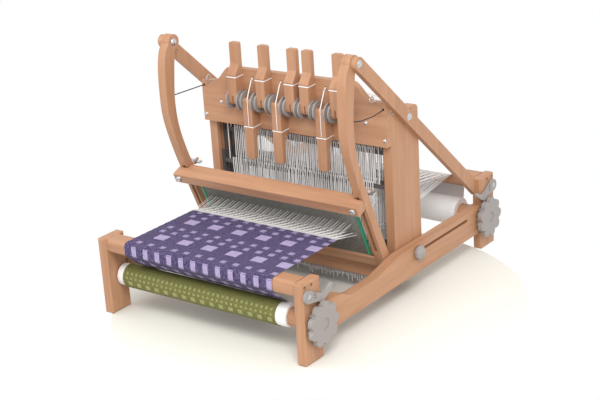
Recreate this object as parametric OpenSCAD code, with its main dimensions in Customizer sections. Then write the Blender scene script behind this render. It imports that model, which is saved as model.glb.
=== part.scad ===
// Table loom: eight shafts worked by hand levers, with a hanging beater,
// a cloth roller in front and a warp roller behind. Millimetres, +Z up,
// +X to the right, +Y to the back, origin on the table under the middle.

/* [Frame] */
// Width over the corner posts
frame_w = 520; // [500:1:640]
// Depth over the corner posts
frame_d = 726; // [700:1:860]
// Height of the corner posts
post_h = 165; // [155:1:185]
// Depth of a corner post
post_d = 60; // [56:1:66]
// Thickness of the posts and side rails
board_t = 22; // [20:0.5:26]
// Bevel on the edges of the posts
post_bevel = 4; // [1:0.5:6]
// Underside of the side rails
rail_z0 = 43.5; // [38:0.5:50]
// Height of the side rails
rail_h = 61.5; // [58:0.5:66]
// Depth of the scoop in the rail tops
scoop_depth = 17.5; // [4:0.5:22]
// Depth of the front and back beams
beam_d = 42; // [36:0.5:46]
// Height of the front and back beams
beam_h = 30; // [24:0.5:36]
// Rounding of the beams
beam_r = 9; // [4:0.5:11]
// Distance of a beam's face behind the post's face
beam_inset = 5; // [3:0.5:8]

/* [Castle] */
// Thickness of the castle sides and the swords
side_t = 20; // [16:0.5:22]
// Gap between a castle side and the side rail
side_gap = 2; // [1:0.25:4]
// Front edge of the castle sides
castle_y0 = -9; // [-12:0.5:-6]
// Depth of the castle sides
castle_d = 102; // [100:0.5:110]
// Underside of the castle sides
castle_z0 = 45; // [42:0.5:50]
// Top of the castle sides
castle_z1 = 392; // [388:1:410]
// Thickness of the lever board
lever_board_t = 15; // [12:0.5:18]
// Underside of the lever board
lever_board_z0 = 329; // [320:1:335]
// Top of the lever board's shoulders
shoulder_z = 421; // [416:1:426]
// Top of the lever board
crest_z = 455; // [450:1:465]

/* [Levers and shafts] */
// Pitch of the levers
lever_pitch = 37.5; // [36:0.25:42]
// Width of a lever
lever_w = 23; // [18:0.5:25]
// Depth of a lever's body
lever_d = 25; // [22:0.5:25]
// Depth of a lever's handle
handle_d = 11; // [9:0.5:14]
// Length of a lever above its pin
lever_len = 123; // [110:1:130]
// Height of the lever pins
pin_z = 390; // [386:0.5:396]
// Radius of the lever pins
pin_r = 2.5; // [2:0.25:3]
// Radius of the bracket cheeks
cheek_r = 21; // [18:0.5:23]
// Thickness of a bracket cheek
cheek_t = 5; // [3:0.25:5.5]
// Pitch of the shafts
shaft_pitch = 11; // [10.5:0.1:11.5]
// Thickness of a shaft's sticks
stick_t = 6; // [4:0.5:7]
// Height of a shaft between its heddle bars
heddle_len = 204; // [190:1:210]
// Height of the lower heddle bars of a shaft at rest
shaft_low_z = 29; // [24:0.5:34]
// Lift of a shaft
shaft_lift = 70; // [60:1:76]

/* [Beater] */
// Height of the beater pivot
pivot_z = 526; // [520:1:532]
// Place of the beater pivot from front to back
pivot_y = -124; // [-128:1:-120]
// Radius of the pivot bolts
pivot_r = 4; // [3:0.25:4.5]
// Lean of the lower sword from upright
lean = 22.4; // [20:0.2:25]
// Width of the battens
batten_w = 26; // [22:0.5:28]
// Height of the battens
batten_h = 24; // [20:0.5:28]
// Height of the reed
reed_h = 146; // [140:1:150]
// Thickness of the reed
reed_t = 5; // [4:0.25:6]
// Width of the slot in a sword
slot_w = 8; // [6.5:0.25:9]
// Radius of the reed cap's bolts
cap_bolt_r = 3; // [2.5:0.25:3]

/* [Rollers and clamps] */
// Height of the roller axes
roller_z = 75; // [70:0.5:80]
// Width across the flats of the roller bars
roller_bar = 36; // [30:0.5:38]
// Radius of the roller axles
axle_r = 6; // [5:0.25:8]
// Radius of the rolled cloth
cloth_roll_r = 25; // [23:0.5:30]
// Radius of the rolled warp
warp_roll_r = 31; // [26:0.5:32]
// Radius of a handwheel over its lobes
wheel_r = 45; // [42:0.5:48]
// Thickness of a handwheel
wheel_t = 9; // [7:0.5:10]
// Thickness of a ratchet ring
ratchet_t = 6; // [5:0.25:7]
// Radius of a ratchet ring over its teeth
ratchet_r = 38; // [36:0.5:39]
// Radius of a clamp knob
knob_r = 16; // [14:0.5:18]
// Height of the clamp knobs
knob_z = 89; // [87:0.5:91]
// Place of the clamp knobs from front to back
knob_y = 37; // [32:0.5:42]

/* [Warp] */
// Width of the cloth on the loom
cloth_w = 376; // [360:4:392]
// Height of the cloth and the warp over the beams
web_rise = 1; // [1:0.25:2]
// Where the woven cloth ends
fell_y = -143; // [-150:1:-138]
// Pitch of the warp threads
thread_pitch = 4; // [4:1:8]
// Thickness of a warp thread
thread_t = 0.8; // [0.5:0.1:1]

/* [Hidden] */
beech = [0.80, 0.62, 0.48];
grey = [0.58, 0.55, 0.53];
silver = [0.78, 0.78, 0.80];
white = [0.92, 0.91, 0.90];
violet = [0.27, 0.20, 0.42];
olive = [0.45, 0.45, 0.22];
black = [0.08, 0.08, 0.09];
green = [0.10, 0.55, 0.35];
$fn = 48;
run = 0.05;
soft_gap = 0.4;
half_w = frame_w / 2;
web_z = post_h + web_rise;
half_d = frame_d / 2;
inner_x = half_w - board_t;
post_y = half_d - post_d;
side_x1 = inner_x - side_gap;
side_x0 = side_x1 - side_t;
castle_y1 = castle_y0 + castle_d;
board_y0 = castle_y0 - lever_board_t;
roller_y = half_d - 45;
beam_y = half_d - beam_inset - beam_d / 2;
beam_z = post_h - beam_h / 2;
lever_gap = 0.4;
pin_y = board_y0 - lever_gap - lever_d / 2;
bore_wall = 8;
is_down = [false, true, false, true, false, false, true, false];
shaft_y0 = castle_y0 + 12.5;
function lever_x(i) = (i - 3.5) * lever_pitch;
function shaft_y(i) = shaft_y0 + i * shaft_pitch;
function shaft_z(i) = shaft_low_z + (is_down[i] ? shaft_lift : 0);
function eye_z(i) = shaft_z(i) + heddle_len / 2;
// A smooth curve through a few points, n steps between each pair
function curve(p, n) = [for (i = [0:len(p) - 2], k = [0:n - 1])
    let (a = p[max(i - 1, 0)], b = p[i], c = p[i + 1], d = p[min(i + 2, len(p) - 1)], t = k / n)
    0.5 * (2 * b + (c - a) * t + (2 * a - 5 * b + 4 * c - d) * t * t
        + (3 * b - a - 3 * c + d) * t * t * t)];
// The outline of a strip of even thickness along a path
function unit(v) = v / norm(v);
function turn(v) = [-v[1], v[0]];
function miter(p, i) = let (a = i == 0 ? unit(p[1] - p[0]) : unit(p[i] - p[i - 1]),
    b = i == len(p) - 1 ? a : unit(p[i + 1] - p[i]), m = unit(turn(a) + turn(b)))
    m / (m * turn(a));
function strip(p, t) = concat([for (i = [0:len(p) - 1]) p[i] + miter(p, i) * t / 2],
    [for (i = [len(p) - 1:-1:0]) p[i] - miter(p, i) * t / 2]);
// Where a line from p touches a circle at c, on the side s
function touch(p, c, r, s) = let (v = c - p, l = norm(v), a = asin(r / l))
    p + sqrt(l * l - r * r) * [cos(s * a) * v[0] - sin(s * a) * v[1],
        sin(s * a) * v[0] + cos(s * a) * v[1]] / l;

module along_x(x0, x1) { translate([x0, 0, 0]) rotate([90, 0, 90]) linear_extrude(x1 - x0) children(); }
module along_y(y0, y1) { translate([0, y1, 0]) rotate([90, 0, 0]) linear_extrude(y1 - y0) children(); }
module on_side(s) { if (s < 0) mirror([1, 0, 0]) children(); else children(); }
module rod_x(x0, x1, y, z, r, f = 48) {
    translate([x0, y, z]) rotate([0, 90, 0]) cylinder(r = r, h = x1 - x0, $fn = f);
}
module rod_y(y0, y1, x, z, r) {
    translate([x, y1, z]) rotate([90, 0, 0]) cylinder(r = r, h = y1 - y0);
}
module round_rect(x0, x1, y0, y1, r) {
    translate([x0 + r, y0]) square([x1 - x0 - 2 * r, y1 - y0]);
    translate([x0, y0 + r]) square([x1 - x0, y1 - y0 - 2 * r]);
    for (x = [x0 + r, x1 - r], y = [y0 + r, y1 - r]) translate([x, y]) circle(r);
}
module bevel_rect(x0, x1, y0, y1, c) {
    polygon([[x0 + c, y0], [x1 - c, y0], [x1, y0 + c], [x1, y1 - c],
        [x1 - c, y1], [x0 + c, y1], [x0, y1 - c], [x0, y0 + c]]);
}
module link(p, q, r) {
    v = q - p;
    translate(p) rotate([0, acos(v[2] / norm(v)), atan2(v[1], v[0])]) cylinder(r = r, h = norm(v), $fn = 6);
}
module run_links(p, r) { for (i = [0:len(p) - 2]) link(p[i], p[i + 1], r); }

// Corner post with bevelled edges, the axle's bore and two countersunk screw holes
module post(side, front) {
    s = front ? -1 : 1;
    color(beech) on_side(side) difference() {
        intersection() {
            linear_extrude(post_h) bevel_rect(inner_x, half_w, min(s * post_y, s * half_d),
                max(s * post_y, s * half_d), post_bevel);
            along_x(inner_x, half_w) bevel_rect(min(s * post_y, s * half_d), max(s * post_y, s * half_d),
                0, post_h, post_bevel / 2);
            along_y(-half_d, half_d) bevel_rect(inner_x, half_w, 0, post_h, post_bevel / 2);
        }
        rod_x(inner_x - 1, half_w + 1, s * roller_y, roller_z, axle_r + run);
        for (q = screw_spots(s)) {
            rod_x(inner_x - 1, half_w + 1, q[0], q[1], 2.2);
            rod_x(half_w - 8, half_w + 1, q[0], q[1], 3.6);
        }
        if (side > 0) rod_x(half_w - 12, half_w + 1, s * pawl_y, pawl_z, 2 + run);
    }
}
function screw_spots(s) = [[s * (half_d - 10), post_h - 7.5], [s * (half_d - 31), post_h - 8.5]];
module post_front_left() { post(-1, true); }
module post_front_right() { post(1, true); }
module post_back_left() { post(-1, false); }
module post_back_right() { post(1, false); }

// Side rail, scooped between the castle and the front post, slotted for the clamp bolt
scoop_y0 = -post_y + 52;
scoop_y1 = castle_y0 - 12;
slot_y1 = post_y - 62;
slot_half = 3.4;
function ease(t) = let (c = min(max(t, 0), 1)) c * c * (3 - 2 * c);
function rail_top(y) = rail_z0 + rail_h
    - scoop_depth * ease((y - scoop_y0) / 50) * ease((scoop_y1 - y) / 110);
module side_rail(side) {
    color(beech) on_side(side) difference() {
        along_x(inner_x, half_w) polygon(concat(
            [[-post_y, rail_z0], [post_y, rail_z0], [post_y, rail_z0 + rail_h]],
            [for (k = [0:24]) let (y = scoop_y1 + (scoop_y0 - scoop_y1) * k / 24) [y, rail_top(y)]],
            [[-post_y, rail_z0 + rail_h]]));
        along_x(inner_x - 1, half_w + 1) {
            translate([knob_y, knob_z - slot_half]) square([slot_y1 - knob_y, 2 * slot_half]);
            translate([knob_y, knob_z]) circle(slot_half);
            translate([slot_y1, knob_z]) circle(slot_half);
        }
    }
}
module side_rail_left() { side_rail(-1); }
module side_rail_right() { side_rail(1); }

// Beams that the cloth and the warp run over
module beam(s) {
    color(beech) difference() {
        along_x(-inner_x, inner_x)
            round_rect(s * beam_y - beam_d / 2, s * beam_y + beam_d / 2, post_h - beam_h, post_h, beam_r);
        for (q = screw_spots(s), x = [-1, 1]) on_side(x) rod_x(inner_x - 20, inner_x + 1, q[0], q[1], 2.2);
    }
}
module front_beam() { beam(-1); }
module back_beam() { beam(1); }

cross_y0 = castle_y0 - 21;
cross_y1 = castle_y0 - 1;
cross_h = 36.5;
module cross_rail() {
    color(beech) along_x(-inner_x, inner_x) bevel_rect(cross_y0, cross_y1, rail_z0, rail_z0 + cross_h, 2);
}

// Castle side with guide grooves for the shafts and a rounded back corner
groove_deep = 4;
corner_r = 12;
bolt_y = knob_y + 6;
bolt_z = castle_z1 - 15;
module castle_side(side) {
    color(beech) on_side(side) difference() {
        along_x(side_x0, side_x1) difference() {
            translate([castle_y0, castle_z0]) square([castle_d, castle_z1 - castle_z0]);
            translate([castle_y1 - corner_r, castle_z1 - corner_r]) difference() {
                square(corner_r + 1);
                circle(corner_r);
            }
        }
        for (i = [0:7]) translate([side_x0 - 1, shaft_y(i) - stick_t / 2 - 0.5, castle_z0 - 1])
            cube([groove_deep + 1, stick_t + 1, castle_z1 - 32 - castle_z0]);
        rod_x(side_x0 - 1, side_x1 + 1, knob_y, knob_z, stud_r + run);
        rod_x(side_x0 - 1, side_x1 + 1, bolt_y, bolt_z, strut_bolt_r);
        rod_x(side_x0 - 1, side_x1 + 1, castle_y1 - 28, castle_z1 - 6, 2);
    }
}
module castle_side_left() { castle_side(-1); }
module castle_side_right() { castle_side(1); }

// Rail across the castle's top, drilled for the lift cords
rail_top_t = 16;
cord_x = side_x0 - 20;
cord_hole_r = 2.6;
top_rail_z = castle_z1 - 24;
module castle_top_rail() {
    color(beech) difference() {
        translate([-side_x0, castle_y0, top_rail_z]) cube([2 * side_x0, castle_d - 4, rail_top_t]);
        for (i = [0:7], s = [-1, 1]) translate([s * cord_x, shaft_y(i), top_rail_z - 1])
            cylinder(r = cord_hole_r, h = rail_top_t + 2);
    }
}

// Board with flowing shoulders that carries the levers, drilled for cords and elastics
crest_x = 165;
shoulder_x = side_x1 - 36;
cord_hole_z = crest_z - 17;
elastic_z = shoulder_z - 13;
elastic_x = (side_x0 + side_x1) / 2 + 4;
hook_x = side_x1 - 27;
function crest(x) = shoulder_z + (crest_z - shoulder_z) * ease((shoulder_x - x) / (shoulder_x - crest_x + 10));
module lever_board() {
    color(beech) difference() {
        along_y(board_y0, castle_y0) polygon(concat(
            [[-side_x1, lever_board_z0], [side_x1, lever_board_z0], [side_x1, shoulder_z]],
            [for (k = [0:12]) let (x = shoulder_x + (crest_x - 10 - shoulder_x) * k / 12) [x, crest(x)]],
            [for (k = [12:-1:0]) let (x = shoulder_x + (crest_x - 10 - shoulder_x) * k / 12) [-x, crest(x)]],
            [[-side_x1, shoulder_z]]));
        for (i = [0:7]) rod_y(board_y0 - 1, castle_y0 + 1, lever_x(i), cord_hole_z, cord_hole_r);
        for (s = [-1, 1]) {
            rod_y(board_y0 - 1, castle_y0 + 1, s * elastic_x, elastic_z, 2.5);
            for (q = board_screws()) rod_y(board_y0 - 1, castle_y0 + 1, s * q[0], q[1], 2);
            rod_y(board_y0 - 1, castle_y0 + 1, s * hook_x, elastic_z + 27 - 14, 1.5);
        }
    }
}
function board_screws() = [[side_x1 - 6, lever_board_z0 + 13.5], [side_x1 - 50, bolt_z - 2.5]];

// Struts from the beater pivot past the castle down to the back posts
strut_t = 12;
strut_w = 27;
strut_bolt_r = 3.5;
strut_foot = [post_y, rail_z0 + rail_h + 22];
strut_x1 = side_x1 + strut_t;
module strut(side) {
    p = [pivot_y, pivot_z];
    c = [bolt_y, bolt_z];
    d = unit(c - p);
    n = turn(d);
    far = p + d * 620;
    color(beech) on_side(side) difference() {
        along_x(side_x1, strut_x1) difference() {
            union() {
                translate(p) circle(strut_w / 2);
                polygon([p + n * strut_w / 2, far + n * strut_w / 2, far - n * strut_w / 2, p - n * strut_w / 2]);
            }
            translate([post_y - 0.2, 0]) square([400, 600]);
            translate([0, -100]) square([600, 100 + rail_z0 + rail_h + 0.2]);
        }
        rod_x(side_x1 - 1, strut_x1 + 1, p[0], p[1], pivot_r);
        rod_x(side_x1 - 1, strut_x1 + 1, c[0], c[1], strut_bolt_r);
    }
}
module strut_left() { strut(-1); }
module strut_right() { strut(1); }

module dome_x(x, y, z, r, h) {
    translate([x, y, z]) rotate([0, 90, 0]) rotate_extrude() intersection() {
        translate([0, h - (r * r + h * h) / (2 * h)]) circle((r * r + h * h) / (2 * h));
        square([r, h]);
    }
}
module dome_y(x, y, z, r, h) {
    translate([x, y, z]) rotate([90, 0, 0]) rotate_extrude() intersection() {
        translate([0, h - (r * r + h * h) / (2 * h)]) circle((r * r + h * h) / (2 * h));
        square([r, h]);
    }
}
module strut_bolts() {
    color(silver) for (s = [-1, 1]) on_side(s) {
        rod_x(side_x0 - 1.5, strut_x1, pivot_y, pivot_z, pivot_r);
        mirror_at(side_x0 - 0.5) dome_x(0, pivot_y, pivot_z, 8, 4);
        dome_x(strut_x1, pivot_y, pivot_z, 8, 4);
        rod_x(side_x0, strut_x1, bolt_y, bolt_z, strut_bolt_r);
        dome_x(strut_x1, bolt_y, bolt_z, 8, 4);
    }
}
module mirror_at(x) { translate([x, 0, 0]) mirror([1, 0, 0]) children(); }

// Grey cheeks that hold the lever pins
cheek_gap = 0.4;
cheek_step = 5;
module lever_brackets() {
    color(grey) for (i = [0:7]) translate([lever_x(i), 0, 0]) {
        for (s = [-1, 1]) on_side(s) {
            x0 = lever_w / 2 + cheek_gap;
            difference() {
                union() {
                    along_x(x0, x0 + cheek_t - 1.5) cheek(cheek_r);
                    along_x(x0, x0 + cheek_t) cheek(cheek_r - cheek_step);
                }
                rod_x(x0 - 1, x0 + cheek_t + 1, pin_y, pin_z, pin_r - 0.5);
            }
        }
        rod_x(-lever_w / 2 - cheek_gap, lever_w / 2 + cheek_gap, pin_y, pin_z, pin_r);
    }
}
module cheek(r) {
    intersection() {
        translate([pin_y + 2, pin_z]) circle(r);
        translate([board_y0 - 60, pin_z - 60]) square([60, 120]);
    }
}

module hook(s) {
    on_side(s) {
        z = elastic_z + 13;
        rod_y(board_y0 - 8, board_y0 + 8, hook_x, z, 1.2);
        translate([hook_x, board_y0 - 8, z + 6.5]) rotate([0, 90, 0]) rotate([0, 0, 80])
            rotate_extrude(angle = 275) translate([6.5, 0]) circle(1.2, $fn = 16);
    }
}
module cup_hooks() { color(silver) { hook(-1); hook(1); } }

module frame_screws() {
    color(silver) {
        for (f = [-1, 1], q = screw_spots(f), s = [-1, 1]) on_side(s) {
            rod_x(inner_x - 16, half_w - 7, q[0], q[1], 2);
            rod_x(half_w - 8, half_w - 5, q[0], q[1], 3.4);
        }
        pawl_pin(-1);
        pawl_pin(1);
        for (s = [-1, 1], q = board_screws()) {
            rod_y(board_y0, castle_y0 - 1, s * q[0], q[1], 1.9);
            dome_y(s * q[0], board_y0, q[1], 4, 2);
        }
    }
}

// Elastics that draw the beater back, the right one a little slack
elastic_r = 1.2;
sword_knot = [side_x0 + side_t / 2, -136.5, 412];
module beater_elastics() {
    end = [elastic_x, board_y0 + 6, elastic_z];
    color(black) {
        on_side(-1) run_links([sword_knot + [0, 1.2, 0], end], elastic_r);
        run_links([sword_knot + [0, 1.2, 0], sword_knot + [1, 40, -8], sword_knot + [3, 80, -9], end], elastic_r);
    }
}

// Cloth from the fell over the front beam down to the cloth roll
cloth_t = 1;
cloth_lift = 0.5;
beam_front = -half_d + beam_inset;
roll_front = [-roller_y, roller_z];
beam_corner = [beam_front + beam_r, post_h - beam_h + beam_r];
under_beam = [for (a = [180:12.5:230]) beam_corner + (beam_r + 1) * [cos(a), sin(a)]];
cloth_end = touch(under_beam[4], roll_front, cloth_roll_r + soft_gap + cloth_t / 2, 1);
function around(s, n) = [for (k = [0:n]) let (a = 90 * k / n, r = beam_r + 1)
    [s * (beam_y + beam_d / 2 - beam_r + r * sin(a)), post_h - beam_r + r * cos(a)]];
module cloth_web() {
    color(violet) along_x(-cloth_w / 2, cloth_w / 2)
        polygon(strip(concat([[fell_y, web_z]], around(-1, 5), under_beam, [cloth_end]), cloth_t));
}

// Warp threads from the fell through reed and heddles to the back beam, then a sheet to the warp roll
thread_n = floor(cloth_w / thread_pitch / 2);
warp_join = post_y - 4;
roll_back = [roller_y, roller_z];
warp_drop = [-beam_front + 1, post_h - beam_h + beam_r];
warp_end = touch(warp_drop, roll_back, warp_roll_r + soft_gap + thread_t / 2, 1);
module warp_threads() {
    color(white) {
        for (j = [-thread_n:thread_n - 1]) let (i = (j + thread_n) % 8, x = (j + 0.5) * thread_pitch)
            along_x(x - thread_t / 2, x + thread_t / 2)
                polygon(strip([[fell_y + soft_gap, web_z], [shaft_y(i), eye_z(i)], [warp_join, web_z]], thread_t));
        along_x(-cloth_w / 2, cloth_w / 2)
            polygon(strip(concat([[warp_join, web_z]], around(1, 5), [warp_drop, warp_end]), thread_t));
    }
}

// Cords from the levers over the top rail down to both ends of each shaft
cord_r = 1;
band_at = 52;
module lift_cords() {
    color(white) for (i = [0:7]) {
        hole = [lever_x(i), castle_y0 + 2, cord_hole_z];
        run_links([hole - [0, lever_board_t + 5, 0], hole], cord_r);
        if (is_down[i]) run_links([hole - [0, lever_board_t + 4, 0],
            [lever_x(i), pin_y - lever_d / 2 - 1.6, pin_z + 6],
            [lever_x(i), pin_y - lever_d / 2 - 1.6, pin_z - band_at]], cord_r);
        for (s = [-1, 1]) run_links([hole, [s * cord_x, shaft_y(i), castle_z1 + 6],
            [s * cord_x, shaft_y(i), shaft_z(i) + heddle_len + bar_h / 2 + 0.2]], cord_r);
    }
}

// Beater: curved swords, leaning lower part, battens and reed
foot = [-53, 111];
sword_front = [[-48, 84], [-66, 128.6], [-87, 179], [-120, 257], [-143, 320], [-157, 372],
    [-160, 418], [-158, 476], [-150, 510], [-139, 527]];
sword_back = [[-118, 513], [-124, 502], [-133, 440], [-136, 400], [-131, 350], [-114, 293],
    [-89, 234], [-59, 165], [-31.6, 104], [-26, 92]];
module lean_frame() { translate([0, foot[0], foot[1]]) rotate([lean, 0, 0]) children(); }
cap_z0 = 129.7;
cap_y1 = -7.2;
cap_y0 = cap_y1 - batten_w;
cap_bolt_z = cap_z0 + batten_h / 2;
cap_travel = 10;
batten_y0 = -7;
batten_z1 = -6.5;
reed_z0 = batten_z1 - 7;
bolt_x = side_x0 + 8;
module sword(side) {
    color(beech) on_side(side) difference() {
        along_x(side_x0, side_x1) {
            polygon(concat(curve(sword_front, 4), [[pivot_y - 14, pivot_z + 3], [pivot_y + 5, pivot_z - 14]],
                curve(sword_back, 4), [sword_back[9]]));
            translate([pivot_y, pivot_z]) circle(16);
        }
        lean_frame() translate([bolt_x - slot_w / 2, -60, 8])
            cube([slot_w, 120, cap_bolt_z + cap_travel + cap_bolt_r + 2 - 8]);
        rod_x(side_x0 - 1, side_x1 + 1, pivot_y, pivot_z, pivot_r + run);
    }
}
module sword_left() { sword(-1); }
module sword_right() { sword(1); }

module lower_batten() {
    color(beech) lean_frame() difference() {
        along_x(-side_x0, side_x0)
            bevel_rect(batten_y0, batten_y0 + batten_w + 2, batten_z1 - batten_h, batten_z1, 1.5);
        translate([-side_x0 - 1, -reed_t / 2 - 0.2, reed_z0 - 0.2])
            cube([2 * side_x0 + 2, reed_t + 0.4, 20]);
    }
}

// Reed: a comb of dents between two ribs, with coloured end posts
reed_half = side_x0 - 13;
rib_h = 7;
dent_t = 0.8;
end_w = 5;
module reed() {
    z1 = reed_z0 + reed_h;
    n = floor((reed_half - end_w) / thread_pitch);
    color(silver) lean_frame() {
        translate([-reed_half, -reed_t / 2, reed_z0]) cube([2 * reed_half, reed_t, rib_h]);
        translate([-reed_half, -reed_t / 2, z1 - rib_h]) cube([2 * reed_half, reed_t, rib_h]);
        for (k = [-n:n]) translate([k * thread_pitch - dent_t / 2, -reed_t / 2 + 1, reed_z0 + rib_h - 0.5])
            cube([dent_t, reed_t - 2, reed_h - 2 * rib_h + 1]);
    }
}
module reed_ends() {
    color(green) lean_frame() for (s = [-1, 1]) on_side(s)
        translate([reed_half - end_w + 1, -reed_t / 2, reed_z0 + rib_h + 0.05])
            cube([end_w, reed_t, reed_h - 2 * rib_h - 0.1]);
}

// Reed cap in front of the swords, with its bolts and a grooved keeper behind for the reed
keeper_z1 = cap_z0 + batten_h - 2;
module reed_cap() {
    color(beech) lean_frame() {
        difference() {
            union() {
                along_x(-side_x1, side_x1) round_rect(cap_y0, cap_y1, cap_z0, cap_z0 + batten_h, 3);
                translate([-side_x0 + 2, cap_y1 - 1, cap_z0]) cube([2 * side_x0 - 4, 14, batten_h - 2]);
            }
            translate([-side_x0, -reed_t / 2 - 0.3, cap_z0 - 1])
                cube([2 * side_x0, reed_t + 0.6, reed_z0 + reed_h + 2 - cap_z0]);
        }
        for (s = [-1, 1]) {
            rod_y(cap_y1 - 1, cap_y1 + 45, s * bolt_x, cap_bolt_z, cap_bolt_r);
            dome_y(s * bolt_x, cap_y0, cap_bolt_z, 5.5, 3);
        }
    }
}
nut_y = 23.5;
module wing_nut(s) {
    color(silver) lean_frame() on_side(s) translate([bolt_x, nut_y, cap_bolt_z]) rotate([-90, 0, 0]) difference() {
        union() {
            cylinder(r = 6, h = 6);
            for (a = [0, 180]) rotate(a) translate([4, -1.2, 0]) cube([11, 2.4, 6]);
            for (a = [0, 180]) rotate(a) translate([13, 1.2, 6]) rotate([90, 0, 0]) cylinder(r = 4, h = 2.4);
        }
        translate([0, 0, -1]) cylinder(r = cap_bolt_r + run, h = 20);
    }
}
module wing_nut_left() { wing_nut(-1); }
module wing_nut_right() { wing_nut(1); }

// Rollers with octagonal bars, lobed handwheels and ratchet rings on the right
wheel_x0 = half_w + 2 + ratchet_t;
module roller_bar_at(y) {
    color(beech) {
        translate([-inner_x + 2, y, roller_z]) rotate([0, 90, 0]) rotate(22.5)
            cylinder(r = roller_bar / 2 / cos(22.5), h = 2 * inner_x - 4, $fn = 8);
        rod_x(-half_w - 4, -inner_x + 3, y, roller_z, axle_r);
        rod_x(inner_x - 3, wheel_x0, y, roller_z, axle_r);
    }
}
module cloth_roller_bar() { roller_bar_at(-roller_y); }
module warp_roller_bar() { roller_bar_at(roller_y); }
module wound(y, r, x0, x1) {
    difference() {
        rod_x(x0, x1, y, roller_z, r);
        rod_x(x0 - 1, x1 + 1, y, roller_z, roller_bar / 2 / cos(22.5) + 0.1);
    }
}
module rolled_cloth() {
    color(olive) wound(-roller_y, cloth_roll_r, -cloth_w / 2 - 30, cloth_w / 2 - 13);
    color(white) wound(-roller_y, cloth_roll_r - 1.5, -inner_x + 3, cloth_w / 2 + 12);
}
module warp_roll() { color(white) wound(roller_y, warp_roll_r, -cloth_w / 2 - 12, cloth_w / 2 + 12); }

lobes = 9;
teeth = 20;
module handwheel(y) {
    color(grey) {
        difference() {
            along_x(wheel_x0, wheel_x0 + wheel_t) translate([y, roller_z]) difference() {
                union() {
                    circle(wheel_r - 8);
                    for (k = [0:lobes - 1]) rotate(k * 360 / lobes) translate([wheel_r - 11, 0]) circle(11);
                }
                for (k = [0:lobes - 1]) rotate((k + 0.5) * 360 / lobes) translate([wheel_r + 1, 0]) circle(6);
            }
            rod_x(wheel_x0 + wheel_t - 1.5, wheel_x0 + wheel_t + 1, y, roller_z, 12);
        }
        difference() {
            along_x(half_w + 2, wheel_x0) translate([y, roller_z]) polygon([for (k = [0:teeth - 1], e = [0, 1])
                let (a = (k + (e == 0 ? 0 : 0.85)) * 360 / teeth, r = e == 0 ? ratchet_r - 5 : ratchet_r)
                [r * cos(a), r * sin(a)]]);
            rod_x(half_w + 1, wheel_x0 + 0.01, y, roller_z, axle_r + run);
        }
    }
}
module cloth_handwheel() { handwheel(-roller_y); }
module warp_handwheel() { handwheel(roller_y); }

// Pawls that turn on a screw above each ratchet, with a thumb tab
pawl_y = half_d - 14;
pawl_drop = 26;
pawl_z = post_h - pawl_drop;
pawl_x0 = half_w + 1;
pawl_t = 6;
pawl_r = 13;
pawl_tip = [41, -25];
pawl_tab = [72, -1];
module pawl(s) {
    color(grey) {
        difference() {
            along_x(pawl_x0, pawl_x0 + pawl_t) translate([s * pawl_y, pawl_z]) mirror([s > 0 ? 1 : 0, 0]) {
                circle(pawl_r);
                polygon([[-4, -12.5], [8, -14.5], [26, -18], pawl_tip, pawl_tip + [6, 4], [60, -14],
                    pawl_tab + [3, 1], pawl_tab + [-3, 3], [57, -5], [44, -7], [30, -2], [10, 9]]);
                translate(pawl_tab) circle(4);
            }
            rod_x(pawl_x0 - 1, pawl_x0 + pawl_t + 1, s * pawl_y, pawl_z, 3 + run);
            along_x(pawl_x0 + pawl_t - 2, pawl_x0 + pawl_t + 1) translate([s * pawl_y, pawl_z])
                mirror([s > 0 ? 1 : 0, 0]) for (k = [-1:1]) translate([13, k * 5 - 2]) rotate(-12) square([9, 2.4]);
        }
    }
}
module pawl_pin(s) {
    color(silver) {
        rod_x(half_w - 10, pawl_x0 + pawl_t + 0.2, s * pawl_y, pawl_z, 2);
        rod_x(half_w, pawl_x0 + pawl_t + 0.2, s * pawl_y, pawl_z, 3);
        dome_x(pawl_x0 + pawl_t + 0.2, s * pawl_y, pawl_z, 5, 2);
    }
}
module front_pawl() { pawl(-1); }
module back_pawl() { pawl(1); }

// Clamp knobs whose studs pass the rail slots into the castle sides
stud_r = 3;
knob_reach = wheel_x0 + wheel_t;
module clamp_knob(side) {
    color(grey) on_side(side) {
        rod_x(side_x0 + 4, knob_reach - 2, knob_y, knob_z, stud_r);
        rod_x(half_w + 0.2, half_w + 4, knob_y, knob_z, knob_r * 0.7);
        intersection() {
            translate([half_w + 4, knob_y, knob_z]) rotate([0, 90, 0]) rotate(22.5)
                cylinder(r = knob_r, h = knob_reach - half_w - 4, $fn = 8);
            dome_x(half_w + 4 - 0.01, knob_y, knob_z, knob_r + 2, knob_reach - half_w - 4);
        }
    }
}
module clamp_knob_left() { clamp_knob(-1); }
module clamp_knob_right() { clamp_knob(1); }

// Hand levers with a slit pin end and a tapered handle
slit_w = 3;
lever_round = 4;
module lever(i) {
    h = lever_d / 2;
    color(beech) translate([lever_x(i), pin_y, pin_z]) rotate([is_down[i] ? 180 : 0, 0, 0]) difference() {
        intersection() {
            along_x(-lever_w / 2, lever_w / 2) difference() {
                union() {
                    intersection() {
                        circle(h);
                        translate([-h, -8]) square([2 * h, 20]);
                    }
                    polygon([[-h, 0], [h, 0], [h, lever_len], [h - handle_d, lever_len],
                        [h - handle_d, 78], [h - handle_d - 3, 72], [-h, 56]]);
                }
            }
            along_y(-h - 1, h + 1) {
                round_rect(-lever_w / 2, lever_w / 2, 20, lever_len, lever_round);
                translate([-lever_w / 2, -10]) square([lever_w, 60]);
            }
        }
        translate([-slit_w / 2, -h - 1, -10]) cube([slit_w, 2 * h + 2, 20]);
        rod_x(-lever_w, lever_w, 0, 0, pin_r + run);
        along_x(-1.4, 1.4) polygon([[h + 1, 8], [h - 3, 10], [h - 3, 50], [h + 1, 52]]);
    }
}
module lever_1() { lever(0); }
module lever_2() { lever(1); }
module lever_3() { lever(2); }
module lever_4() { lever(3); }
module lever_5() { lever(4); }
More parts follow.
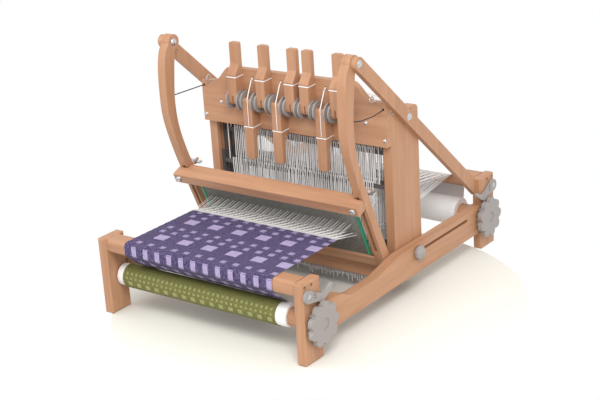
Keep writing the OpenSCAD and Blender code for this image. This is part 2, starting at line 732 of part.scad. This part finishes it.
module lever_6() { lever(5); }
module lever_7() { lever(6); }
module lever_8() { lever(7); }

// Shaft: two heddle bars, side sticks in the castle grooves and the heddles of its threads
bar_h = 9;
stick_w = 8;
heddle_t = 0.8;
module shaft(i) {
    z0 = shaft_z(i);
    color([0.30, 0.27, 0.26]) translate([0, shaft_y(i), 0]) {
        for (z = [z0, z0 + heddle_len]) translate([-side_x0 + 4, -1.5, z - bar_h / 2])
            cube([2 * side_x0 - 8, 3, bar_h]);
        for (s = [-1, 1]) on_side(s) translate([side_x0 + groove_deep - 1 - stick_w, -stick_t / 2, z0 - 7])
            cube([stick_w, stick_t, heddle_len + 30]);
    }
    color(white) for (j = [-thread_n:thread_n - 1]) if ((j + thread_n) % 8 == i)
        translate([(j + 0.5) * thread_pitch + thread_t / 2 + 0.3, shaft_y(i) - heddle_t / 2, z0])
            cube([heddle_t, heddle_t, heddle_len]);
}
module shaft_1() { shaft(0); }
module shaft_2() { shaft(1); }
module shaft_3() { shaft(2); }
module shaft_4() { shaft(3); }
module shaft_5() { shaft(4); }
module shaft_6() { shaft(5); }
module shaft_7() { shaft(6); }
module shaft_8() { shaft(7); }

post_front_left();
post_front_right();
post_back_left();
post_back_right();
side_rail_left();
side_rail_right();
front_beam();
back_beam();
cross_rail();
castle_side_left();
castle_side_right();
castle_top_rail();
lever_board();
strut_left();
strut_right();
strut_bolts();
lever_brackets();
cup_hooks();
frame_screws();
beater_elastics();
cloth_web();
warp_threads();
lift_cords();
sword_left();
sword_right();
lower_batten();
reed();
reed_ends();
reed_cap();
wing_nut_left();
wing_nut_right();
cloth_roller_bar();
rolled_cloth();
cloth_handwheel();
warp_roller_bar();
warp_roll();
warp_handwheel();
front_pawl();
back_pawl();
clamp_knob_left();
clamp_knob_right();
lever_1();
lever_2();
lever_3();
lever_4();
lever_5();
lever_6();
lever_7();
lever_8();
shaft_1();
shaft_2();
shaft_3();
shaft_4();
shaft_5();
shaft_6();
shaft_7();
shaft_8();
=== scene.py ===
import math
import bpy
import numpy as np
from mathutils import Euler, Matrix, Vector


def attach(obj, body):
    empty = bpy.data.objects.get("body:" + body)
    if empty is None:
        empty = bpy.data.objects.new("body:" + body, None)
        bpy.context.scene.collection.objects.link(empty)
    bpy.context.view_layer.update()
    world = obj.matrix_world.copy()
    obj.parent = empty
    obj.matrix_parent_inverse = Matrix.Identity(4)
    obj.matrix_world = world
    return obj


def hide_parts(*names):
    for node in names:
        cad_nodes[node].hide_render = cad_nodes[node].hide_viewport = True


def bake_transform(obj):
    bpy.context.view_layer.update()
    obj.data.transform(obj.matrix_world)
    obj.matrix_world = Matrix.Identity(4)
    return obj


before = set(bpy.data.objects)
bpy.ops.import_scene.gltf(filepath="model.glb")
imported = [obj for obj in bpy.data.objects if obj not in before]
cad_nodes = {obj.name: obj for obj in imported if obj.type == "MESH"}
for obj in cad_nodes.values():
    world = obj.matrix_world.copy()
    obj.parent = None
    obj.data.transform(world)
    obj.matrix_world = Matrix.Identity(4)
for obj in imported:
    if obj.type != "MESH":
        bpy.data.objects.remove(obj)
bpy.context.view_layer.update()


# Camera: stands to the right of the loom's front on a long lens and looks down on it.
# It is held with the photograph's slight roll, and colours show as they are written.
azimuth = math.radians(37.46)
elevation = math.radians(19.71)
roll = math.radians(-3.63)
camera_place = (1.69413, -2.22179, 1.17443)
camera_data = bpy.data.cameras.new("camera")
camera_data.sensor_width = 36
camera_data.lens = 83.5
camera_data.clip_end = 50
camera = bpy.data.objects.new("camera", camera_data)
bpy.context.scene.collection.objects.link(camera)
facing = Euler((math.pi / 2 - elevation, 0, azimuth)).to_matrix()
facing = facing @ Matrix.Rotation(roll, 3, "Z")
camera.matrix_world = Matrix.Translation(camera_place) @ facing.to_4x4()
bpy.context.scene.camera = camera
bpy.context.scene.view_settings.view_transform = "Standard"


# Posts, rails, beams, castle boards, struts, swords and levers: solid beech, a pale orange-pink
# wood with long grain and fine dark flecks. Each board is sawn with the grain along its length,
# and they are bolted and screwed together. The shapes are the CAD model's.
class Value:
    def __init__(self, tree, socket):
        self.tree = tree
        self.socket = socket

    def node(self, kind, output, settings, sockets):
        made = self.tree.nodes.new(kind)
        for name, setting in settings.items():
            setattr(made, name, setting)
        for place, item in sockets.items():
            if isinstance(item, Value):
                self.tree.links.new(item.socket, made.inputs[place])
            else:
                made.inputs[place].default_value = item
        return Value(self.tree, made.outputs[output])

    def maths(self, operation, first, second):
        return self.node("ShaderNodeMath", 0, {"operation": operation}, {0: first, 1: second})

    def __add__(self, other):
        return self.maths("ADD", self, other)

    def __rsub__(self, other):
        return self.maths("SUBTRACT", other, self)

    def __mul__(self, other):
        return self.maths("MULTIPLY", self, other)

    def __mod__(self, other):
        return self.maths("FLOORED_MODULO", self, other)

    def above(self, level):
        return self.maths("GREATER_THAN", self, level)

    def part(self, axis):
        return self.node("ShaderNodeSeparateXYZ", axis, {}, {"Vector": self})

    def noise(self, scale, detail, distortion=0.0):
        return self.node("ShaderNodeTexNoise", "Fac", {}, {
            "Vector": self, "Scale": scale, "Detail": detail, "Distortion": distortion})

    def between(self, low, high):
        low, high = (colour if isinstance(colour, Value) else (*colour, 1)
                     for colour in (low, high))
        return self.node("ShaderNodeMix", 2, {"data_type": "RGBA"},
                         {"Factor": self, 6: low, 7: high})


def start_material(name, roughness, metallic=0.0):
    material = bpy.data.materials.new(name)
    material.use_nodes = True
    shader = material.node_tree.nodes["Principled BSDF"]
    shader.inputs["Roughness"].default_value = roughness
    shader.inputs["Metallic"].default_value = metallic
    place = material.node_tree.nodes.new("ShaderNodeTexCoord")
    return material, shader, Value(material.node_tree, place.outputs["Object"])


def colour_and_bump(shader, colour, height, strength, distance):
    bump = height.node("ShaderNodeBump", "Normal", {}, {
        "Strength": strength, "Distance": distance, "Height": height})
    height.tree.links.new(colour.socket, shader.inputs["Base Color"])
    height.tree.links.new(bump.socket, shader.inputs["Normal"])


def beech(name, stretch):
    material, shader, place = start_material(name, roughness=0.5)
    board = place.node("ShaderNodeMapping", "Vector", {}, {"Vector": place, "Scale": stretch})
    grain = board.noise(scale=9.0, detail=5.0, distortion=0.6)
    fleck = board.noise(scale=60.0, detail=2.0)
    wood = grain.between((0.33, 0.15, 0.07), (0.60, 0.33, 0.19))
    wood = (fleck * 0.3).between(wood, (0.30, 0.15, 0.08))
    colour_and_bump(shader, wood, fleck, strength=0.15, distance=0.0006)
    return material


def dress(material, *names):
    for name in names:
        mesh = cad_nodes[name].data
        mesh.materials.clear()
        mesh.materials.append(material)


along_grain, over_grain = 0.6, 7
shaft_numbers = range(1, 9)
levers = ["lever_%d" % k for k in shaft_numbers]
dress(beech("beech_x", (along_grain, over_grain, over_grain)),
      "front_beam", "back_beam", "cross_rail", "castle_top_rail", "lever_board",
      "lower_batten", "reed_cap", "cloth_roller_bar", "warp_roller_bar")
dress(beech("beech_y", (over_grain, along_grain, over_grain)),
      "side_rail_left", "side_rail_right")
dress(beech("beech_z", (over_grain, over_grain, along_grain)),
      "post_front_left", "post_front_right", "post_back_left", "post_back_right",
      "castle_side_left", "castle_side_right", "strut_left", "strut_right",
      "sword_left", "sword_right", *levers)


# Lever cheeks, handwheels, pawls and clamp knobs: moulded in warm grey plastic with a fine
# speckle. The cheeks are screwed to the lever board and the wheels sit on the roller ends.
def speckled(name, low, high, roughness, metallic=0.0, scale=900.0):
    material, shader, place = start_material(name, roughness, metallic)
    speckle = place.noise(scale, detail=2.0)
    colour_and_bump(shader, speckle.between(low, high), speckle, strength=0.2, distance=0.0004)
    return material


dress(speckled("warm_grey_plastic", (0.20, 0.18, 0.17), (0.42, 0.38, 0.36), 0.45),
      "lever_brackets", "cloth_handwheel", "warp_handwheel", "front_pawl", "back_pawl",
      "clamp_knob_left", "clamp_knob_right")


# Bolts, hooks, screws and wing nuts: bright plated steel. The bolts hold the struts, the wing
# nuts clamp the reed cap, and the hooks are screwed into the wood.
steel = speckled("bright_steel", (0.45, 0.46, 0.48), (0.75, 0.76, 0.78), 0.28,
                 metallic=1.0, scale=300.0)
dress(steel, "strut_bolts", "cup_hooks", "frame_screws", "wing_nut_left", "wing_nut_right")


# Reed and shafts: a comb of thin dark steel dents between two green plastic end posts, held
# in the batten's groove, and behind it the shafts with their dark heddle bars.
dress(speckled("reed_steel", (0.16, 0.17, 0.15), (0.42, 0.42, 0.40), 0.4,
               metallic=0.6, scale=300.0), "reed")
dress(speckled("green_end_posts", (0.01, 0.24, 0.11), (0.05, 0.42, 0.24), 0.35), "reed_ends")
dress(speckled("dark_heddle_bar", (0.05, 0.045, 0.045), (0.14, 0.12, 0.12), 0.5),
      *["shaft_%d" % k for k in shaft_numbers])


# Woven cloth: violet blocks on a dark ground, in a draft of large and small squares that swap.
# It is one taut sheet that runs from the fell, over the front beam's rounded edge, down to
# the cloth roll. Its threads show as fine ridges.
def patterned(name, ground, figure, along, fineness):
    threads_per_metre = 700
    material, shader, place = start_material(name, roughness=0.85)
    across = place.part("X") * fineness
    length = place.part(along) * fineness
    wide = (across * 16 % 1.0).above(0.55)
    narrow = (across * 32 % 1.0).above(0.6)
    tall = (length * 21 % 1.0).above(0.5)
    short = (length * 42 % 1.0).above(0.5)
    swap = (length * 10.5 % 1.0).above(0.5)
    blocks = wide * tall * swap + narrow * short * (1 - swap) * 0.8
    weft = (length * threads_per_metre % 1.0).above(0.45)
    warp = (across * threads_per_metre % 1.0).above(0.35)
    fuzz = place.noise(scale=620.0, detail=0.0)
    speck = fuzz.above(0.56)
    factor = blocks * (weft * 0.3 + 0.3) + speck * warp * 0.26 + fuzz * 0.06
    colour_and_bump(shader, factor.between(ground, figure), weft + warp,
                    strength=0.4, distance=0.0005)
    return material


def new_piece(name, points, faces, material, body=None):
    mesh = bpy.data.meshes.new(name)
    mesh.from_pydata(points, [], faces)
    mesh.materials.append(material)
    mesh.update()
    made = bpy.data.objects.new(name, mesh)
    bpy.context.scene.collection.objects.link(made)
    if body:
        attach(made, body)
    return made


def ribbon(name, path, half_width, columns, material, ripple=0.0):
    points = []
    for k, (y, z) in enumerate(path):
        for j in range(columns + 1):
            x = -half_width + 2 * half_width * j / columns
            points.append((x, y, z + ripple * math.sin(x * 210 + k * 1.7)))
    row = columns + 1
    faces = [(k * row + j, k * row + j + 1, (k + 1) * row + j + 1, (k + 1) * row + j)
             for k in range(len(path) - 1) for j in range(columns)]
    return new_piece(name, points, faces, material, "frame")


def over_beam(side):
    corner_y, corner_z, corner_radius, corner_steps = 0.349, 0.156, 0.01, 8
    path = []
    for k in range(corner_steps + 1):
        angle = math.pi / 2 * k / corner_steps
        path.append((side * (corner_y + corner_radius * math.sin(angle)),
                     corner_z + corner_radius * math.cos(angle)))
    return path


fell_y = -0.143
cloth_z = 0.166
half_cloth = 0.188
flat_length, flat_steps = 0.206, 40
cloth_path = [(fell_y - flat_length * k / flat_steps, cloth_z) for k in range(flat_steps)]
cloth_path += over_beam(-1)
cloth_path += [(-0.3590, 0.1440), (-0.3583, 0.1401), (-0.3555, 0.1364),
               (-0.3300, 0.1137), (-0.3020, 0.0955)]
violet_cloth = patterned("violet_cloth", (0.016, 0.006, 0.062), (0.66, 0.55, 0.84), "Y", 1.0)
cloth = ribbon("woven_cloth", cloth_path, half_cloth, 90, violet_cloth, ripple=0.0003)
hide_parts("cloth_web")


# Reed cap bolts: one domed steel head near each end of the cap's front face, with a shallow
# ring pressed round its centre. The head lies square to the leaning beater.
lean = math.radians(22.4)
across = np.array([1.0, 0.0, 0.0])
up = np.array([0.0, -math.sin(lean), math.cos(lean)])
out = np.array([0.0, -math.cos(lean), -math.sin(lean)])
centre_rise = 0.0040
dome = [(0.0010, 0.0030), (0.0022, 0.0041), (0.0045, 0.0037), (0.0062, 0.0022), (0.0068, 0.0)]
around = 24
for side, hand in ((-1, "left"), (1, "right")):
    foot = np.array([side * 0.224, -0.053, 0.111])
    seat = foot + out * 0.0332 + up * 0.1417
    points = [tuple(seat + out * centre_rise)]
    for radius, rise in dome:
        for k in range(around):
            angle = 2 * math.pi * k / around
            rim = across * math.cos(angle) + up * math.sin(angle)
            points.append(tuple(seat + out * rise + rim * radius))
    faces = [(0, 1 + k, 1 + (k + 1) % around) for k in range(around)]
    for ring in range(len(dome) - 1):
        inner, outer = 1 + around * ring, 1 + around * (ring + 1)
        faces += [(inner + k, outer + k, outer + (k + 1) % around, inner + (k + 1) % around)
                  for k in range(around)]
    bolt = new_piece("cap_bolt_" + hand, points, faces, steel, "reed_cap_body")


# Warp: white yarn, one thread every 2 mm, threaded on the eight shafts in turn. Each thread
# runs from the fell through its shaft's heddle eye and on to the back beam, and bends at the
# eye, which stands at the height its shaft is set to. Over the back beam the threads lie side by
# side as one sheet.
yarn = speckled("white_yarn", (0.74, 0.73, 0.72), (0.98, 0.97, 0.96), 0.8)
thread_pitch, thread_half = 0.002, 0.0006
first_thread_x, last_thread_x = -0.1870, 0.187
warp_z, warp_back_y = 0.1663, 0.305
eye_z, eye_steps = 0.131, 12
first_eye_y, shaft_pitch = 0.0035, 0.011
shaft_lift = 0.070
down_levers = (2, 4, 7)


def shaft_y(k):
    return first_eye_y + shaft_pitch * (k - 1)


def raised(k):
    return shaft_lift if k in down_levers else 0.0


def threads(name, start, end, places):
    path = [(start[0] + (end[0] - start[0]) * k / eye_steps,
             start[1] + (end[1] - start[1]) * k / eye_steps) for k in range(eye_steps + 1)]
    points, faces = [], []
    for x in places:
        base = len(points)
        for y, z in path:
            points += [(x - thread_half, y, z), (x, y, z + thread_half),
                       (x + thread_half, y, z), (x, y, z - thread_half)]
        for k in range(eye_steps):
            a, b = base + 4 * k, base + 4 * k + 4
            faces += [(a + j, a + (j + 1) % 4, b + (j + 1) % 4, b + j) for j in range(4)]
    return new_piece(name, points, faces, yarn)


warp_parts = []
for k in shaft_numbers:
    y = shaft_y(k)
    eye = (y, eye_z + raised(k))
    repeat = thread_pitch * len(shaft_numbers)
    places = [first_thread_x + thread_pitch * (k - 1) + repeat * j for j in range(24)]
    places = [x for x in places if x < last_thread_x]
    front = threads("warp_front_%d" % k, (fell_y, warp_z), eye, places)
    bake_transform(front)
    back = threads("warp_back_%d" % k, eye, (warp_back_y, warp_z), places)
    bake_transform(back)
    warp_parts += [front, back]
back_path = [(0.30, 0.1665), (0.32, 0.1665)] + over_beam(1) + [(0.3565, 0.12), (0.3497, 0.0785)]
warp_tail = ribbon("warp_over_beam", back_path, half_cloth, 60, yarn)
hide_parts("warp_threads")


# Heddles: white cord loops knotted round the two bars of each shaft, packed close, with an
# eye in the middle. Their tails hang free at uneven lengths below the lower bar.
low_bar_z = 0.029
bar_spacing = 0.204
first_heddle_x, heddle_pitch, heddle_step = -0.1850, 0.0048, 0.0008
strand_half, strand_front, strand_back = 0.0010, 0.0030, 0.0014
for k in shaft_numbers:
    y = shaft_y(k)
    low = low_bar_z + raised(k)
    points, faces = [], []
    rng = np.random.default_rng(k)
    for j in range(77):
        x = first_heddle_x + heddle_step * (k - 1) + heddle_pitch * j
        sway = rng.uniform(-0.0012, 0.0012, 6)
        base = len(points)
        levels = [low - rng.uniform(0.006, 0.021), low + 0.05, low + 0.101, low + 0.15,
                  low + bar_spacing, low + 0.214]
        for z, dx in zip(levels, sway):
            points += [(x + dx - strand_half, y - strand_front, z),
                       (x + dx + strand_half, y - strand_front, z + 0.0005),
                       (x + dx, y - strand_back, z)]
        for level in range(len(levels) - 1):
            a = base + 3 * level
            faces += [(a + m, a + (m + 1) % 3, a + 3 + (m + 1) % 3, a + 3 + m)
                      for m in range(3)]
    heddles = new_piece("heddles_%d" % k, points, faces, yarn, "shaft_body_%d" % k)


# Rolls: on the front roller the finished cloth, olive with its own squares, over a wider roll
# of white paper, and on the back roller the wound warp. They are slightly uneven, as hand
# winding leaves them, and turn with their rollers.
roller_y, roller_z = 0.318, 0.075
olive_cloth = patterned("olive_cloth", (0.13, 0.13, 0.025), (0.50, 0.50, 0.22), "Z", 2.6)


def winding(name, x0, x1, y, radius, uneven, material, body):
    columns, around = 60, 64
    points = []
    for j in range(columns + 1):
        x = x0 + (x1 - x0) * j / columns
        for k in range(around):
            angle = 2 * math.pi * k / around
            r = radius + uneven * math.sin(x * 37 + angle * 2) * 0.5 - uneven * 0.5 * k / around
            points.append((x, y + r * math.cos(angle), roller_z + r * math.sin(angle)))
    faces = [(j * around + k, j * around + (k + 1) % around,
              (j + 1) * around + (k + 1) % around, (j + 1) * around + k)
             for j in range(columns) for k in range(around)]
    faces += [tuple(range(around))[::-1], tuple(columns * around + k for k in range(around))]
    return new_piece(name, points, faces, material, body)


olive = winding("olive_cloth_roll", -0.218, 0.175, -roller_y, 0.025, 0.0004, olive_cloth,
                "cloth_roller")
paper = winding("paper_on_cloth_roll", -0.2345, 0.200, -roller_y, 0.0232, 0.0004, yarn,
                "cloth_roller")
warp_roll = winding("warp_on_roller", -0.200, 0.200, roller_y, 0.031, 0.0006, yarn,
                    "warp_roller")
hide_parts("rolled_cloth")
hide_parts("warp_roll")


# Cord bands: a turn of white cord tied round each lever's long arm, above the pin on a lever
# that stands up and below it on one that hangs down. Each band turns with its lever.
lever_pitch = 0.0375
lever_y, pin_z = -0.0369, 0.390
band_from_pin = 0.052
band_half_x, band_half_y, band_half_z, band_tilt = 0.0124, 0.0129, 0.0011, 0.0008


def lever_x(k):
    return (k - 4.5) * lever_pitch


for k in shaft_numbers:
    side = -1 if k in down_levers else 1
    z = pin_z + side * band_from_pin
    points = [(lever_x(k) + sx * band_half_x, lever_y + sy * band_half_y,
               z + dz + sy * band_tilt)
              for dz in (-band_half_z, band_half_z)
              for sx, sy in ((-1, -1), (1, -1), (1, 1), (-1, 1))]
    faces = [(j, (j + 1) % 4, 4 + (j + 1) % 4, 4 + j) for j in range(4)]
    band = new_piece("cord_band_%d" % k, points, faces, yarn, "lever_body_%d" % k)


# Elastics: two black cords that draw the beater back, tied round the swords and held in the
# lever board. They keep the CAD model's route.
elastics = bpy.data.objects.new("elastics", cad_nodes["beater_elastics"].data.copy())
bpy.context.scene.collection.objects.link(elastics)
elastics.data.materials.clear()
elastics.data.materials.append(
    speckled("black_elastic", (0.008, 0.008, 0.008), (0.03, 0.03, 0.03), 0.6))
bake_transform(elastics)
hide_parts("beater_elastics")


# Lift cords: white cord from each lever's groove, through the lever board and over the top
# rail, to both ends of the lever's shaft. There it runs straight down to just above the shaft's
# top bar, at the height the shaft is set to. The cord in a groove shows only on the levers that
# hang down.
def tube(name, corners, count, radius):
    sides = 8
    path = []
    for a, b in zip(corners, corners[1:]):
        path += [np.array([a[i] + (b[i] - a[i]) * k / count for i in range(3)])
                 for k in range(count)]
    path.append(np.array(corners[-1]))
    points, faces = [], []
    for k, point in enumerate(path):
        ahead = path[min(k + 1, len(path) - 1)] - path[max(k - 1, 0)]
        ahead = ahead / np.linalg.norm(ahead)
        level = (0.0, 1.0, 0.0) if abs(ahead[2]) > 0.6 else (0.0, 0.0, 1.0)
        across = np.cross(ahead, level)
        across = across / np.linalg.norm(across)
        over = np.cross(ahead, across)
        for j in range(sides):
            angle = 2 * math.pi * j / sides
            rim = math.cos(angle) * across + math.sin(angle) * over
            points.append(tuple(point + radius * rim))
    for k in range(len(path) - 1):
        a, b = k * sides, (k + 1) * sides
        faces += [(a + j, a + (j + 1) % sides, b + (j + 1) % sides, b + j)
                  for j in range(sides)]
    return new_piece(name, points, faces, yarn)


board_y, board_hole_z = -0.024, 0.438
shaft_end_x = 0.196
cord_above_bar = 0.0048
rail_bottom_z = 0.370
groove_y, groove_top_z, groove_low_z = -0.0481, 0.397, 0.340
lift_pieces = []
for k in shaft_numbers:
    y = shaft_y(k)
    top = low_bar_z + bar_spacing + cord_above_bar + raised(k)
    for side, hand in ((-1, "left"), (1, "right")):
        x = side * shaft_end_x
        over = tube("cord_over_%s_%d" % (hand, k),
                    [(lever_x(k), board_y, board_hole_z), (lever_x(k), -0.007, board_hole_z),
                     (x, y, 0.398), (x, y, rail_bottom_z)], 4, 0.001)
        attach(over, "frame")
        drop = tube("cord_down_%s_%d" % (hand, k), [(x, y, rail_bottom_z), (x, y, top)], 10, 0.001)
        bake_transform(drop)
        lift_pieces += [over, drop]
    if k in down_levers:
        front = tube("cord_front_%d" % k,
                     [(lever_x(k), board_y, board_hole_z), (lever_x(k), -0.030, 0.434),
                      (lever_x(k), groove_y, groove_top_z)], 4, 0.0012)
        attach(front, "frame")
        groove = tube("cord_in_groove_%d" % k, [(lever_x(k), groove_y, groove_top_z),
                                                (lever_x(k), groove_y, groove_low_z)], 8, 0.0012)
        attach(groove, "lever_body_%d" % k)
        lift_pieces += [front, groove]
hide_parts("lift_cords")


# Stage: white surroundings and a round pale cream floor just under the feet, in soft light
# from a key lamp on the right and a wide fill lamp on the left, both aimed at the loom.
floor_x, floor_y, floor_z, floor_radius, floor_sides = 0.10, -0.10, -0.001, 0.43, 96
floor_angles = [2 * math.pi * k / floor_sides for k in range(floor_sides)]
floor_points = [(floor_x + floor_radius * math.cos(angle),
                 floor_y + floor_radius * math.sin(angle), floor_z) for angle in floor_angles]
cream = speckled("cream_floor", (0.79, 0.775, 0.715), (0.81, 0.795, 0.735), 0.9)
new_piece("floor", floor_points, [tuple(range(floor_sides))], cream)
world = bpy.data.worlds.new("world")
world.use_nodes = True
surroundings = world.node_tree.nodes["Background"]
surroundings.inputs["Color"].default_value = (1, 1, 1, 1)
surroundings.inputs["Strength"].default_value = 1.0
bpy.context.scene.world = world
for name, place, power, size in (("key", (1.6, -1.8, 2.4), 60, 1.2),
                                 ("fill", (-2.0, -1.2, 1.5), 15, 2.0)):
    light = bpy.data.lights.new(name, "AREA")
    light.energy = power
    light.size = size
    lamp = bpy.data.objects.new(name, light)
    lamp.location = place
    lamp.rotation_euler = (-Vector(place)).to_track_quat("-Z", "Y").to_euler()
    bpy.context.scene.collection.objects.link(lamp)

bpy.context.view_layer.update()
